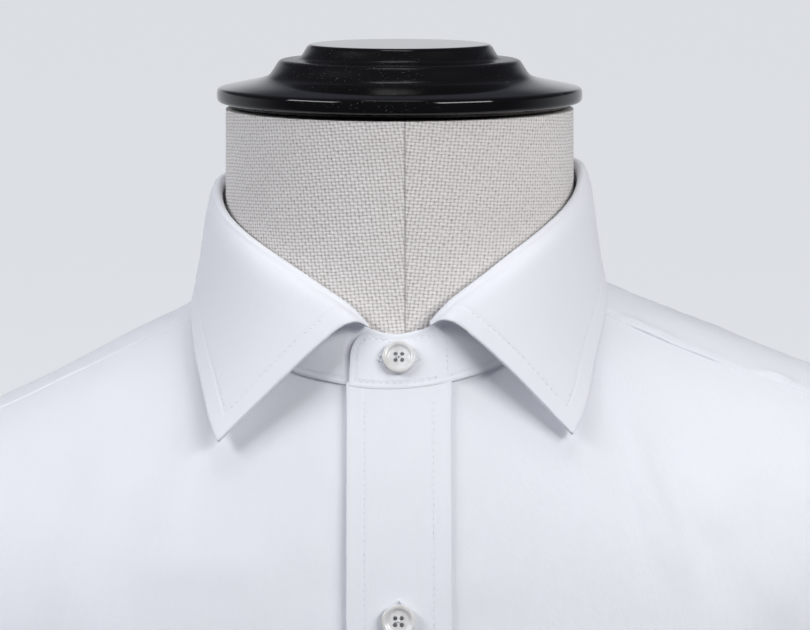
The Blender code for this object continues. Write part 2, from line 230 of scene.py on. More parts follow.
# Materials

twillLook = {
    "colour": (0.83, 0.845, 0.88, 1), "shadeColour": (0.80, 0.815, 0.86, 1),
    "ribPitch": 0.46 * mm, "ribLean": 62, "yarnPitch": 0.23 * mm, "ribDepth": 0.04 * mm,
    "roughness": 0.78, "sheen": 0.18, "grooveDepth": 0.1 * mm,
}


def twill(name, look, ribDepth, stitchIn):
    finish = Finish(bpy.data.materials.new(name), Sheen_Weight=look["sheen"], Sheen_Roughness=0.4)
    finish.shader.inputs["Specular IOR Level"].default_value = 0.3
    place = finish.flatPlace()
    across, up, _ = finish.split(place)
    lean = math.radians(look["ribLean"])
    turns = 2 * math.pi / look["ribPitch"]
    # Ribs run up to the right at the twill's lean; the yarns cross them
    wander = finish.noise(place, 90.0, 3.0) - 0.5
    rib = ((across * math.sin(lean) - up * math.cos(lean)) * turns + wander * 1.4).maths("SINE")
    yarn = (across * (2 * math.pi / look["yarnPitch"])).maths("SINE")
    slub = finish.noise(finish.stretched(place, (1.0, 0.09, 1.0)), 900.0, 2.0)
    cloudy = finish.noise(finish.objectPlace(), 16.0, 2.0)
    offLine = (finish.attribute("edgeGap") - stitchIn * mm).maths("ABSOLUTE")
    groove = 1 - finish.clamp(offLine, 0.15 * mm, 1.1 * mm)
    height = (rib * 0.5 + yarn * 0.16 + slub * 0.6) * ribDepth - groove * look["grooveDepth"]
    # Low ribs take the darker shadeColour as painted shade in the twill's grooves; thick slubs turn paler, partly their
    # own tone and partly painted highlight
    ribShadeAndSlubTone = finish.clamp(rib * 0.5 + slub * 1.1, -0.2, 1.2)
    colour = finish.mixColours(ribShadeAndSlubTone, look["shadeColour"], look["colour"])
    colour = finish.mixColours(finish.clamp(cloudy, 0.3, 0.75) * 0.25, colour, (0.80, 0.82, 0.88, 1))
    finish.give(finish.shader, {"Base Color": colour, "Roughness": look["roughness"] + slub * 0.08})
    finish.relief(height, 1.0)
    return finish.owner


linenLook = {
    "thread": (0.70, 0.67, 0.648, 1), "paleThreadAndHighlight": (0.86, 0.833, 0.815, 1), "gap": (0.26, 0.226, 0.215, 1),
    "pitch": 1.40 * mm, "rise": 1.16 * mm, "depth": 0.2 * mm, "roughness": 0.9,
    "seamAt": 1.9 * mm,
}


def linen(name, look):
    finish = Finish(bpy.data.materials.new(name), Sheen_Weight=0.15, Sheen_Roughness=0.5)
    finish.shader.inputs["Specular IOR Level"].default_value = 0.2
    place = finish.flatPlace()
    bent = finish.noise(place, 35.0, 3.0) - 0.5
    wobble = finish.noise(place, 330.0, 1.0) - 0.5
    across, up, _ = finish.split(place)
    side = finish.clamp(across - look["seamAt"], -0.3 * mm, 0.3 * mm) * 2 - 1
    warp = (across + side * up * -0.16 + bent * (1.5 * mm) + wobble * (0.5 * mm)) * (math.pi / look["pitch"])
    weft = (up + side * across * 0.07 + bent * (1.5 * mm) - wobble * (0.4 * mm)) * (math.pi / look["rise"])
    openness = finish.noise(place, 480.0, 2.0)
    warpHole = 1 - warp.maths("SINE").maths("ABSOLUTE")
    weftHole = 1 - weft.maths("SINE").maths("ABSOLUTE")
    # Over and under alternate like bricks, so every second crossing stands higher
    brick = warp.maths("COSINE") * weft.maths("COSINE")
    # The holes between the threads are painted dark in the gap colour: painted shade in the weave's holes
    hole = finish.clamp(warpHole + weftHole + brick * 0.3 + (openness - 0.5) * 1.8, 0.85, 1.95)
    # The crown of each thread is painted paler: a painted highlight on the thread tops, mixed with the slubs' own paler
    # tone
    crownHighlight = (1 - warpHole) * (1 - weftHole)
    slub = finish.noise(finish.stretched(place, (0.6, 1.0, 1.0)), 700.0, 3.0)
    stain = finish.noise(place, 22.0, 4.0)
    thread = finish.mixColours(finish.clamp(slub * 0.7 + crownHighlight * 0.45, 0.3, 0.8), look["thread"], look["paleThreadAndHighlight"])
    thread = finish.mixColours(finish.clamp(stain, 0.45, 0.8) * 0.3, thread, (0.62, 0.59, 0.57, 1))
    colour = finish.mixColours(hole * 0.66, thread, look["gap"])
    broken = finish.clamp(finish.noise(finish.stretched(place, (1.0, 1.0, 1.0)), 260.0, 2.0), 0.38, 0.62)
    offSeam = (across - look["seamAt"] + up * 0.02 - 0.011).maths("ABSOLUTE")
    line = (1 - finish.clamp(offSeam, 0.08 * mm, 0.42 * mm)) * finish.attribute("seam")
    groove = (1 - finish.clamp(offSeam, 0.3 * mm, 1.6 * mm)) * finish.attribute("seam")
    colour = finish.mixColours(line * (0.02 + broken * 0.26), colour, look["gap"])
    speckSpot = finish.node("ShaderNodeTexVoronoi", {"feature": "F1"}, {"Vector": place, "Scale": 55.0})
    speckSize = finish.noise(place, 60.0, 0.0)
    speck = finish.clamp(speckSize, 0.62, 0.72) * (1 - finish.clamp(speckSpot, 0.035, 0.075))
    colour = finish.mixColours(speck * 0.75, colour, (0.16, 0.13, 0.12, 1))
    height = (warpHole + weftHole) * -0.5 * look["depth"] + brick * (0.06 * mm) + slub * (0.07 * mm)
    height = height - groove * (0.08 * mm) - line * (0.03 * mm)
    finish.give(finish.shader, {"Base Color": colour, "Roughness": look["roughness"]})
    finish.relief(height, 1.0)
    return finish.owner


blackLook = {"colour": (0.0036, 0.0032, 0.0033, 1), "dust": (0.13, 0.13, 0.14, 1), "rimRoughness": 0.045,
             "tierRoughness": 0.21, "tiersAbove": neckTop + 9 * mm}


def blackGloss(name, look):
    finish = Finish(bpy.data.materials.new(name))
    finish.shader.inputs["IOR"].default_value = 1.38
    place = finish.objectPlace()
    _, _, level = finish.split(place)
    onTiers = finish.clamp(level, look["tiersAbove"], look["tiersAbove"] + 4 * mm)
    onTop = finish.clamp(level, look["tiersAbove"] + 12.6 * mm, look["tiersAbove"] + 13.4 * mm)
    dustSpots = finish.noise(place, 1500.0, 2.0)
    dustWhere = finish.noise(place, 30.0, 3.0)
    dust = finish.clamp(dustSpots, 0.66, 0.76) * finish.clamp(dustWhere, 0.4, 0.7)
    scratch = finish.noise(finish.stretched(place, (1.0, 1.0, 9.0)), 260.0, 2.0)
    scratches = finish.clamp(scratch, 0.70, 0.74) * finish.clamp(dustWhere, 0.35, 0.6)
    colour = finish.mixColours((dust * 0.7 + scratches * 0.3).maths("MINIMUM", 1.0), look["colour"], look["dust"])
    smear = finish.noise(place, 45.0, 3.0)
    dull = look["tierRoughness"] - look["rimRoughness"]
    roughness = look["rimRoughness"] + onTiers * (1 - onTop) * dull + smear * 0.04 + dust * 0.3
    finish.give(finish.shader, {"Base Color": colour, "Roughness": roughness})
    scuffs = finish.noise(place, 210.0, 4.0)
    finish.relief(smear * (0.04 * mm) + (scratch * (0.03 * mm) + scuffs * (0.035 * mm)) * onTiers * (1 - onTop), 1.0)
    return finish.owner


def pearl(name):
    finish = Finish(bpy.data.materials.new(name), Coat_Weight=0.6, Coat_Roughness=0.08)
    place = finish.objectPlace()
    cloud = finish.noise(finish.stretched(place, (1.0, 1.0, 0.4)), 260.0, 3.0)
    colour = finish.mixColours(finish.clamp(cloud, 0.3, 0.7), (0.66, 0.65, 0.63, 1), (0.80, 0.80, 0.80, 1))
    finish.give(finish.shader, {"Base Color": colour, "Roughness": 0.24 + cloud * 0.1})
    return finish.owner


def sewingThread(name):
    finish = Finish(bpy.data.materials.new(name))
    finish.shader.inputs["Specular IOR Level"].default_value = 0.35
    place = finish.objectPlace()
    fibre = finish.noise(place, 2500.0, 1.0)
    colour = finish.mixColours(fibre, (0.72, 0.75, 0.80, 1), (0.82, 0.85, 0.89, 1))
    finish.give(finish.shader, {"Base Color": colour, "Roughness": 0.55 + fibre * 0.15})
    finish.relief(fibre * (0.03 * mm), 1.0)
    return finish.owner


shirtTwill = twill("shirt twill", twillLook, twillLook["ribDepth"], 5.0)
placketTwill = twill("placket twill", twillLook, twillLook["ribDepth"], 6.0)
yokeTwill = twill("yoke twill", twillLook, twillLook["ribDepth"], 1.6)
leafTwill = twill("leaf twill", twillLook, twillLook["ribDepth"] * 0.22, 6.5)
standTwill = twill("stand twill", twillLook, twillLook["ribDepth"] * 0.3, 2.0)
linenCloth = linen("linen cover", linenLook)
blackWood = blackGloss("black lacquer", blackLook)
pearlShell = pearl("pearl shell")
threadFinish = sewingThread("sewing thread")
print("materials made")


# Dress form: linen cover over neck and body

form = {"levels": 2, "tuck": 2.5, "neckRadius": 62 * mm, "bodyRadius": 150 * mm}


def makeForm():
    piece = copyOfNode("form_body", "form_linen", 0.0)
    roundWall(piece, form["levels"])
    mesh = piece.data
    bottom = min(vertex.co.z for vertex in mesh.vertices)
    for vertex in mesh.vertices:  # the cover's edge runs on behind the base plate's top
        if vertex.co.z < bottom + form["tuck"] * mm:
            vertex.co.z -= form["tuck"] * mm
    flat = mesh.uv_layers.new(name="flat")
    seam = mesh.attributes.new("seam", "FLOAT", "POINT")
    for vertex in mesh.vertices:
        # The panels meet in seams down the middle of the front and the back; only the front seam is marked
        seam.data[vertex.index].value = 1.0 if vertex.co.y < 0 else 0.0
    for face in mesh.polygons:
        turns = [math.atan2(mesh.vertices[v].co.x, -mesh.vertices[v].co.y) for v in face.vertices]
        for loop, turn in zip(face.loop_indices, turns):
            if max(turns) - min(turns) > math.pi and turn < 0:
                turn += 2 * math.pi
            z = mesh.vertices[mesh.loops[loop].vertex_index].co.z
            body = ease((0.50 - z) / 0.05)
            radius = form["neckRadius"] + (form["bodyRadius"] - form["neckRadius"]) * body
            flat.data[loop].uv = (turn * radius, z)
    return finishPiece(piece, linenCloth, "linen", "form_body")


formPiece = makeForm()
formTree = treeOf(formPiece)
print("form covered:", len(formPiece.data.polygons), "faces")


# Turned cap: rings from the underside up, radius and height

cap = {
    "sides": 72, "levels": 2,
    "rings": [(60.4, 0.0), (60.4, 1.5), (61.6, 1.8), (63.4, 2.0), (64.4, 2.6), (64.7, 3.6), (64.7, 5.6), (64.5, 6.6),
              (63.9, 7.2), (62.8, 7.5), (58.0, 8.5), (52.0, 9.6), (48.2, 10.5), (46.3, 11.3), (45.2, 12.6), (44.2, 14.2),
              (43.3, 15.7), (42.7, 16.5), (41.8, 17.0), (40.0, 17.2), (37.0, 17.3), (35.3, 17.6), (34.3, 18.8),
              (33.3, 20.5), (32.7, 21.6), (32.2, 22.2), (31.4, 22.45), (30.0, 22.5), (26.0, 22.5)],
}


def makeCap():
    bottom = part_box("form_cap")[0].z
    radius, _ = cap["rings"][0]
    deselectAll()
    bpy.ops.mesh.primitive_circle_add(
        vertices=cap["sides"], radius=radius * mm, fill_type="TRIFAN", location=(0, 0, bottom))
    piece = bpy.context.object
    piece.name = piece.data.name = "form_cap_turned"
    bpy.ops.object.mode_set(mode="EDIT")
    bpy.ops.mesh.select_all(action="SELECT")
    for (wide, low), (nextWide, high) in zip(cap["rings"], cap["rings"][1:]):
        bpy.ops.mesh.extrude_region_move(TRANSFORM_OT_translate={"value": (0, 0, (high - low) * mm)})
        bpy.ops.transform.resize(value=(nextWide / wide, nextWide / wide, 1), center_override=(0, 0, bottom))
    bpy.ops.mesh.select_all(action="SELECT")
    bpy.ops.mesh.normals_make_consistent(inside=False)
    bpy.ops.object.mode_set(mode="OBJECT")
    applyPlace(piece)
    subdivide(piece, cap["levels"])
    return finishPiece(piece, blackWood, "black_wood", "form_cap")


def makeBase():
    piece = copyOfNode("form_base", "form_base_plate", 0.0)
    roundWall(piece, 3)
    return finishPiece(piece, blackWood, "black_wood", "form_base")


makeCap()
makeBase()
print("cap and base made")


# Cloth: each piece starts on its solid's skin, then gets its folds, its flat pattern and its sewing.
# folds are soft ridges seen from the front: x and z of both ends from the neck's top, half width and height.

leaf = {"node": "collar_leaf", "seamSlope": 5.5, "name": "collar_leaf_cloth", "levels": 3, "crease": 0.55, "folds": [],
        "ripple": 0.12, "pucker": 0, "pillow": 0, "stitchIn": 6.5,
        # place from the neck's top, reach and move of each soft pull on the points and the outer edge
        "pulls": [((-58.5, -80.9, -104.7), 16, (-2.0, 0, -1.5)), ((58.0, -81.0, -102.9), 16, (-0.2, 0, -0.8)),
                  ((68.9, -54.2, -81.1), 16, (-1.9, 0, 0))]}
stand = {"node": "collar_stand", "footDrop": 2.4, "footOut": 1.1, "name": "collar_stand_cloth", "levels": 3, "crease": 0.55, "folds": [],
         "ripple": 0.1, "pucker": 0, "pillow": 0, "stitchIn": 2.0}
frontLeft = {
    "node": "front_left", "name": "front_left_cloth", "levels": 3, "crease": 0.55, "ripple": 0.5, "pucker": 0.4, "pillow": 0, "stitchIn": 5.0,
    "folds": [(68, -95, 86, -160, 3.4, -1.0), (83, -104, 110, -158, 4.4, -1.2), (75, -98, 96, -156, 4.5, 1.2),
              (100, -112, 135, -170, 8, 1.3), (150, -140, 172, -220, 9, 2.0)],
}
frontRight = {
    "node": "front_right", "name": "front_right_cloth", "levels": 3, "crease": 0.55, "ripple": 0.5, "pucker": 0.4, "pillow": 0, "stitchIn": 5.0,
    "folds": [(-92, -110, -120, -170, 8, 1.0), (-70, -100, -84, -165, 6, 0.7), (-150, -140, -172, -220, 9, 1.8)],
}
placket = {"node": "placket", "name": "placket_cloth", "levels": 3, "crease": 0.55, "folds": [], "ripple": 0.15,
           "pucker": 0.12, "pillow": 0, "stitchIn": 6.0}
yoke = {
    "node": "yoke", "name": "yoke_cloth", "levels": 3, "crease": 0.55, "ripple": 0.5, "pucker": 1.8, "pillow": 0.5, "stitchIn": 1.6,
    "folds": [(80, -73, 97, -84, 3, 0.7), (98, -80, 112, -88, 3, 0.5)],
}
back = {"node": "back", "name": "back_cloth", "levels": 3, "crease": 0.55, "ripple": 0.5, "pucker": 0.35, "pillow": 0, "stitchIn": 5.0,
        "folds": [(-60, -150, -40, -300, 9, 1.6), (55, -150, 38, -300, 9, 1.5), (-120, -150, -100, -260, 9, 1.8),
                  (118, -150, 98, -260, 9, 1.8)]}


def shapeLeaf(cage):
    for place, reach, move in leaf["pulls"]:
        for vertex in cage.vertices:
            away = (vertex.co - Vector(place) * mm - Vector((0, 0, neckTop))).length / (reach * mm)
            vertex.co += Vector(move) * mm * math.exp(-away ** 2)
    # At the front ends the seam strip slopes back under the fold
    for vertex in cage.vertices:
        x, y, z = vertex.co
        turn = math.degrees(math.atan2(x, -y))
        radius = math.hypot(x, y)
        drop = ease((68.4 * mm - radius) / (2.2 * mm)) * ease((26 - abs(turn)) / 16)
        vertex.co = Matrix.Rotation(math.radians(math.copysign(leaf["seamSlope"] * drop, turn)), 3, "Z") @ vertex.co
        seamLevel = neckTop + (-69.0 + 0.7 * (abs(turn) - 9)) * mm + 0.045 * x
        if abs(turn) < 13 and vertex.co.z > seamLevel:
            vertex.co.z = seamLevel + (vertex.co.z - seamLevel) * (1 - 0.62 * ease((13 - abs(turn)) / 4.5))


def shapeStand(cage):
    # The foot reaches down over the top edges of the fronts
    foot = {}
    for vertex in cage.vertices:
        x, y, z = vertex.co
        key = round(math.degrees(math.atan2(x, -y)) / 1.5)
        foot[key] = min(foot.get(key, 9.0), z)
    for vertex in cage.vertices:
        x, y, z = vertex.co
        turn = math.degrees(math.atan2(x, -y))
        near = min(foot.get(round(turn / 1.5) + i, 9.0) for i in (-1, 0, 1))
        share = ease((44 - abs(turn)) / 14) * ease((near + 3.2 * mm - z) / (2.2 * mm))
        out = Vector((x, y, 0)).normalized() * stand["footOut"] * mm
        vertex.co += (out - Vector((0, 0, stand["footDrop"] * mm))) * share


def softenFold(piece):
    # The roll at the top of the leaf runs into its face without a ridge
    work = bmesh.new()
    work.from_mesh(piece.data)
    top = {}
    for vertex in work.verts:
        key = round(math.degrees(math.atan2(vertex.co.x, -vertex.co.y)))
        top[key] = max(top.get(key, 0.0), vertex.co.z)
    chosen = []
    for vertex in work.verts:
        turn = math.degrees(math.atan2(vertex.co.x, -vertex.co.y))
        drop = top[round(turn)] - vertex.co.z
        if 13 < abs(turn) and 0.8 * mm < drop < 12 * mm:
            chosen.append(vertex)
    for i in range(34):
        bmesh.ops.smooth_vert(work, verts=chosen, factor=0.5, use_axis_x=True, use_axis_y=True, use_axis_z=True)
    work.to_mesh(piece.data)
    work.free()


def lapOver(*below):
    # The edge that meets the pieces below is drawn over them and raised by their thickness
    trees = [treeOf(piece) for piece in below]

    def shape(cage):
        normals = [vertex.normal.copy() for vertex in cage.vertices]
        for vertex, normal in zip(cage.vertices, normals):
            nearest = min((tree.find_nearest(vertex.co) for tree in trees), key=lambda found: found[3])
            if nearest[3] < 4.2 * mm:
                away = outwardAt(vertex.co)[0]
                towards = nearest[0] - vertex.co
                towards -= away * towards.dot(away)
                lap = 1.8 + 2.6 * ease((vertex.co.x - 66 * mm) / (22 * mm)) * ease((190 * mm - vertex.co.x) / (50 * mm))
                rise = 0.35 if normal.dot(away) > 0 else -0.9  # the inner side turns down into them
                vertex.co += towards.normalized() * (towards.length + lap * mm) + away * (rise * mm)
    return shape


def foldHeight(point, folds):
    # In metres, ends tapering away
    total = 0.0
    for x1, z1, x2, z2, width, height in folds:
        along = Vector(((x2 - x1), (z2 - z1))) * mm
        offset = Vector((point.x - x1 * mm, point.z - neckTop - z1 * mm))
        share = offset.dot(along) / along.length_squared
        if -0.1 < share < 1.1:
            across = (offset - along * share).length / (width * mm)
            total += height * mm * ease((share + 0.1) / 0.45) * ease((1.1 - share) / 0.45) * math.exp(-across ** 2)
    return total


def outwardAt(point):
    near = formTree.find_nearest(point)
    away = point - near[0]
    return away.normalized() if away.length > 1e-6 else near[1], away.length


def rimLoops(piece):
    # Closed chains of the cage's sharp rim edges, outermost first
    work = bmesh.new()
    work.from_mesh(piece.data)
    creases = work.edges.layers.float["crease_edge"]
    sharp = {edge for edge in work.edges if edge[creases] > 0}
    narrow = {edge for edge in sharp if edge.calc_length() < 1.9 * mm}
    sharp -= {edge for edge in narrow if all(len([e for e in v.link_edges if e in sharp]) > 2 for v in edge.verts)}
    loops = []
    while sharp:
        first = sharp.pop()
        chain = list(first.verts)
        while True:
            following = [e for e in chain[-1].link_edges if e in sharp]
            if not following:
                break
            sharp.discard(following[0])
            chain.append(following[0].other_vert(chain[-1]))
        loops.append([v.co.copy() for v in chain])
    work.free()
    loops = [loop for loop in loops if len(loop) > 8]
    loops.sort(key=lambda loop: -sum(outwardAt(point)[1] for point in loop) / len(loop))
    return loops


def sampled(loop, step):
    points, run = [], 0.0
    for start, end in zip(loop, loop[1:] + loop[:1]):
        length = (end - start).length
        count = max(1, round(length / step))
        points += [(start.lerp(end, i / count), run + length * i / count) for i in range(count)]
        run += length
    return points


def makeCloth(look, material, slot, flatOf, isSewn, shape=None):
    piece = copyOfNode(look["node"], look["name"], look["crease"])
    if shape:
        shape(piece.data)
    loops = rimLoops(piece)
    subdivide(piece, look["levels"])
    if look is leaf:
        softenFold(piece)
    mesh = piece.data
    edgeGap = mesh.attributes.new("edgeGap", "FLOAT", "POINT")
    samples = [(point, run) for loop in loops[:2] for point, run in sampled(loop, 1.0 * mm) if isSewn(point)]
    tree = KDTree(len(samples))
    for i, (point, run) in enumerate(samples):
        tree.insert(point, i)
    tree.balance()
    lifts = []
    for vertex in mesh.vertices:
        away, gap = outwardAt(vertex.co)
        lift = foldHeight(vertex.co, look["folds"])
        ripple = noise.noise(vertex.co * 28.0) + 0.5 * noise.noise(vertex.co * 70.0)
        lift += look["ripple"] * mm * ripple * ease((gap - 0.4 * mm) / (2.5 * mm))
        near, which, toEdge = tree.find(vertex.co) if samples else (None, 0, 1.0)
        edgeGap.data[vertex.index].value = toEdge
        if look["pucker"] and toEdge < 14 * mm:
            wave = noise.noise(near * 75.0) + 0.5 * noise.noise(near * 190.0)
            pillow = math.exp(-((toEdge - 3.2 * mm) / (3.2 * mm)) ** 2)
            lift += look["pucker"] * mm * (wave + look["pillow"]) * pillow * ease(toEdge / (4 * mm))
        lifts.append(away * lift)
    for vertex, lift in zip(mesh.vertices, lifts):
        vertex.co += lift
    flat = mesh.uv_layers.new(name="flat")
    for face in mesh.polygons:
        centre = face.center
        for loop in face.loop_indices:
            flat.data[loop].uv = flatOf(mesh.vertices[mesh.loops[loop].vertex_index].co, centre)
    finishPiece(piece, material, slot, look["node"])
    area = sum(face.area for face in mesh.polygons) / 2
    sew(piece, look, loops[0], isSewn)
    print(look["name"], "faces", len(mesh.polygons), "area", round(area, 4))
    return piece, area


thread = {"length": 1.25, "pitch": 1.7, "width": 0.34, "height": 0.26}


def makeStitch():
    deselectAll()
    bpy.ops.mesh.primitive_ico_sphere_add(subdivisions=1, radius=0.5 * mm, location=(0, 0, 0))
    stitch = bpy.context.object
    stitch.scale = (thread["length"] * 1.1, thread["width"], thread["height"])
    applyPlace(stitch)
    corners = [vertex.co.copy() for vertex in stitch.data.vertices]
    faces = [tuple(face.vertices) for face in stitch.data.polygons]
    bpy.data.objects.remove(stitch)
    return corners, faces


stitchCorners, stitchFaces = makeStitch()


def sew(piece, look, loop, isSewn):
    # A row of stitches on the outer face, in from the sewn edges
    inset = look["stitchIn"] * mm
    surface = treeOf(piece)
    edge = [point for point, run in sampled(loop, 0.4 * mm)]
    tree = KDTree(len(edge))
    for i, point in enumerate(edge):
        tree.insert(point, i)
    tree.balance()
    path = []
    for i, point in enumerate(edge):
        if not isSewn(point):
            path.append(None)
            continue
        along = (edge[(i + 3) % len(edge)] - edge[i - 3]).normalized()
        away = outwardAt(point)[0]
        inward = along.cross(away).normalized()
        best = None
        for way in (inward, -inward):
            spot = surface.find_nearest(point + way * inset + away * (2.5 * mm))
            if spot[0] is not None and (best is None or spot[3] < best[3]):
                best = spot
        far = tree.find(best[0])[2] > inset * 0.93
        path.append((best[0], best[1]) if far else None)
    corners, faces = [], []
    start, run, wait, last = None, 0.0, 0.0, None
    for spot in path:
        if spot is None or (last is not None and (spot[0] - last).length > 1.5 * mm):
            start, last = None, None
            continue
        moved = 0.0 if last is None else (spot[0] - last).length
        last = spot[0]
        wait -= moved
        if start is None:
            if wait <= 0:
                start, run = spot, 0.0
            continue
        run += moved
        if run >= thread["length"] * mm:
            along = (spot[0] - start[0]).normalized()
            up = (start[1] + spot[1]).normalized()
            side = up.cross(along).normalized()
            turn = Matrix((along, side, along.cross(side))).transposed()
            middle = (start[0] + spot[0]) / 2 + up * (0.01 * mm)
            first = len(corners)
            corners += [middle + turn @ corner for corner in stitchCorners]
            faces += [tuple(first + v for v in face) for face in stitchFaces]
            start, wait = None, (thread["pitch"] - thread["length"]) * mm
    print(look["name"], "stitches", len(faces) // len(stitchFaces))
    if corners:
        mesh = bpy.data.meshes.new(look["name"] + "_stitches")
        mesh.from_pydata(corners, [], faces)
        stitches = bpy.data.objects.new(mesh.name, mesh)
        bpy.context.scene.collection.objects.link(stitches)
        finishPiece(stitches, threadFinish, slotOf[look["node"]])


slotOf = {"collar_leaf": "collar_twill", "collar_stand": "collar_twill"}
slotOf.update({name: "shirt_twill" for name in ("front_left", "front_right", "placket", "yoke", "back")})


def aroundNeck(point, centre):
    turn = math.atan2(point.x, point.y)
    middle = math.atan2(centre.x, centre.y)
    if turn - middle > math.pi:
        turn -= 2 * math.pi
    elif middle - turn > math.pi:
        turn += 2 * math.pi
    return (turn * 72 * mm, point.z)


def seenFromFront(point, centre):
    # Wrapped round the chest
    return (math.atan2(point.x, 0.06 - point.y) * 165 * mm, point.z + 0.35 * (point.y + 0.1))


def seenFromAbove(point, centre):
    return (point.x, point.y)


def seenFromBehind(point, centre):
    return (math.atan2(point.x, 0.06 + point.y) * -165 * mm, point.z)


def leafFreeEdge(point):
    return math.hypot(point.x, point.y) > 69.4 * mm


def standEdges(point):
    return point.y < 0 or point.z < neckTop - 50 * mm


def sideAndHem(point):
    return abs(point.x) > 150 * mm or point.z < neckTop - 300 * mm


def placketSides(point):
    return abs(point.x) > 15 * mm and point.z < neckTop - 88 * mm


def yokeSeams(point):
    return abs(point.x) > 72 * mm or point.y > 76 * mm


leafPiece, leafArea = makeCloth(leaf, leafTwill, "collar_twill", aroundNeck, leafFreeEdge, shapeLeaf)
standPiece, standArea = makeCloth(stand, standTwill, "collar_twill", aroundNeck, standEdges, shapeStand)
leftPiece, leftArea = makeCloth(frontLeft, shirtTwill, "shirt_twill", seenFromFront, sideAndHem)
rightPiece, rightArea = makeCloth(frontRight, shirtTwill, "shirt_twill", seenFromFront, sideAndHem)
placketPiece, placketArea = makeCloth(placket, placketTwill, "shirt_twill", seenFromFront, placketSides)
backPiece, backArea = makeCloth(back, shirtTwill, "shirt_twill", seenFromBehind, sideAndHem)
yokePiece, yokeArea = makeCloth(
    yoke, yokeTwill, "shirt_twill", seenFromAbove, yokeSeams, lapOver(leftPiece, rightPiece, backPiece))

print("cloth made")


# Buttons: a rim, a dished face and four holes, sewn with a cross of thread

button = {"slit": 14, "standing": 90, "dish": 0.75, "hole": 0.72, "holeOut": 1.55, "radius": 5.6, "thick": 2.4, "sides": 48}


def makeButton(node, name):
    points = numpy.array([vertex.co for vertex in nodes[node].data.vertices])
    centre = points.mean(axis=0)
    axis = Vector(numpy.linalg.svd(points - centre)[2][2])
    if axis.y > 0:
        axis.negate()
    heights = (points - centre) @ numpy.array(axis)
    back = Vector(centre) + axis * float(heights.min())
    deselectAll()
    bpy.ops.mesh.primitive_cylinder_add(
        vertices=button["sides"], radius=button["radius"] * mm, depth=button["thick"] * mm,
        location=(0, 0, button["thick"] * mm / 2), end_fill_type="NGON")
    piece = bpy.context.object
    piece.name = piece.data.name = name
    bpy.ops.object.mode_set(mode="EDIT")
    bpy.ops.mesh.select_mode(type="FACE")
    bpy.ops.mesh.select_all(action="DESELECT")
    work = bmesh.from_edit_mesh(piece.data)
    work.faces.ensure_lookup_table()
    for face in work.faces:
        face.select = face.normal.z > 0.9
    bmesh.update_edit_mesh(piece.data)
    bpy.ops.mesh.inset(thickness=1.3 * mm, depth=0)
    bpy.ops.mesh.inset(thickness=0.6 * mm, depth=-button["dish"] * mm)
    bpy.ops.object.mode_set(mode="OBJECT")
    applyPlace(piece)
    edges = piece.modifiers.new("soft edges", "BEVEL")
    edges.width = 0.45 * mm
    edges.segments = 3
    edges.limit_method = "ANGLE"
    edges.angle_limit = math.radians(20)
    applyModifiers(piece)
    holes = []
    for i in range(4):
        turn = math.radians(45 + 90 * i)
        deselectAll()
        bpy.ops.mesh.primitive_cylinder_add(
            vertices=16, radius=button["hole"] * mm, depth=6 * mm,
            location=(math.cos(turn) * button["holeOut"] * mm, math.sin(turn) * button["holeOut"] * mm, 1 * mm))
        holes.append(bpy.context.object)
    for hole in holes:
        cut = piece.modifiers.new("hole", "BOOLEAN")
        cut.operation = "DIFFERENCE"
        cut.object = hole
        cut.solver = "EXACT"
    applyModifiers(piece)
    for hole in holes:
        bpy.data.objects.remove(hole)
    turnTo = axis.to_track_quat("Z", "Y").to_matrix().to_4x4()
    place = Matrix.Translation(back) @ turnTo
    piece.data.transform(place)
    finishPiece(piece, pearlShell, "pearl_button", node)
    piece.data.set_sharp_from_angle(angle=math.radians(35))
    makeCross(name + "_thread", place)
    makeButtonhole(name + "_hole", place, button["standing"] if node != "button_collar" else 0)


def makeButtonhole(name, place, turn):
    # A worked slit under the button: a flat ring of close stitches
    deselectAll()
    bpy.ops.mesh.primitive_torus_add(
        major_segments=96, minor_segments=10, major_radius=button["slit"] / 2 * mm, minor_radius=0.62 * mm,
        location=(0, 0, 0))
    ring = bpy.context.object
    ring.name = ring.data.name = name
    ring.scale = (1, 0.27, 0.45)
    applyPlace(ring)
    for vertex in ring.data.vertices:
        beat = math.sin(vertex.co.x / (0.16 * mm))
        vertex.co.z *= 1 + 0.25 * beat
        vertex.co.y *= 1 + 0.08 * beat
    ring.data.transform(place @ Matrix.Rotation(math.radians(turn), 4, "Z") @ Matrix.Translation((0, 0, -0.3 * mm)))
    finishPiece(ring, threadFinish, "shirt_twill")


def makeCross(name, place):
    # Two strands from hole to hole, one crossing over the other, joined into one piece
    strands = []
    for i, (turn, lift) in enumerate(((45, 0.0), (135, 0.25))):
        deselectAll()
        bpy.ops.mesh.primitive_cylinder_add(vertices=10, radius=0.42 * mm, depth=3.3 * mm, end_fill_type="TRIFAN",
                                            location=(0, 0, 0), rotation=(0, math.radians(90), 0))
        strand = bpy.context.object
        strand.rotation_euler = (0, 0, math.radians(turn))
        strand.location = (0, 0, (button["thick"] - button["dish"] + 0.1 + lift) * mm)
        applyPlace(strand)
        strands.append(strand)
    deselectAll()
    for strand in strands:
        strand.select_set(True)
    bpy.context.view_layer.objects.active = strands[0]
    bpy.ops.object.join()
    piece = bpy.context.object
    piece.name = piece.data.name = name
    subdivide(piece, 1)
    piece.data.transform(place)
    finishPiece(piece, threadFinish, "shirt_twill")


for buttonNode in ("button_collar", "button_1", "button_2", "button_3"):
    makeButton(buttonNode, buttonNode + "_shell")
print("buttons made")


# Floor: a wide pale sheet of paper that fills the view; its glow is painted light, dim near the form and brightest far
# behind

paper = {"near": (0.34, 0.35, 0.365, 1), "far": (0.67, 0.688, 0.715, 1), "clearFrom": 0.6, "clearTo": 2.4,
         "colour": (0.34, 0.35, 0.37, 1)}


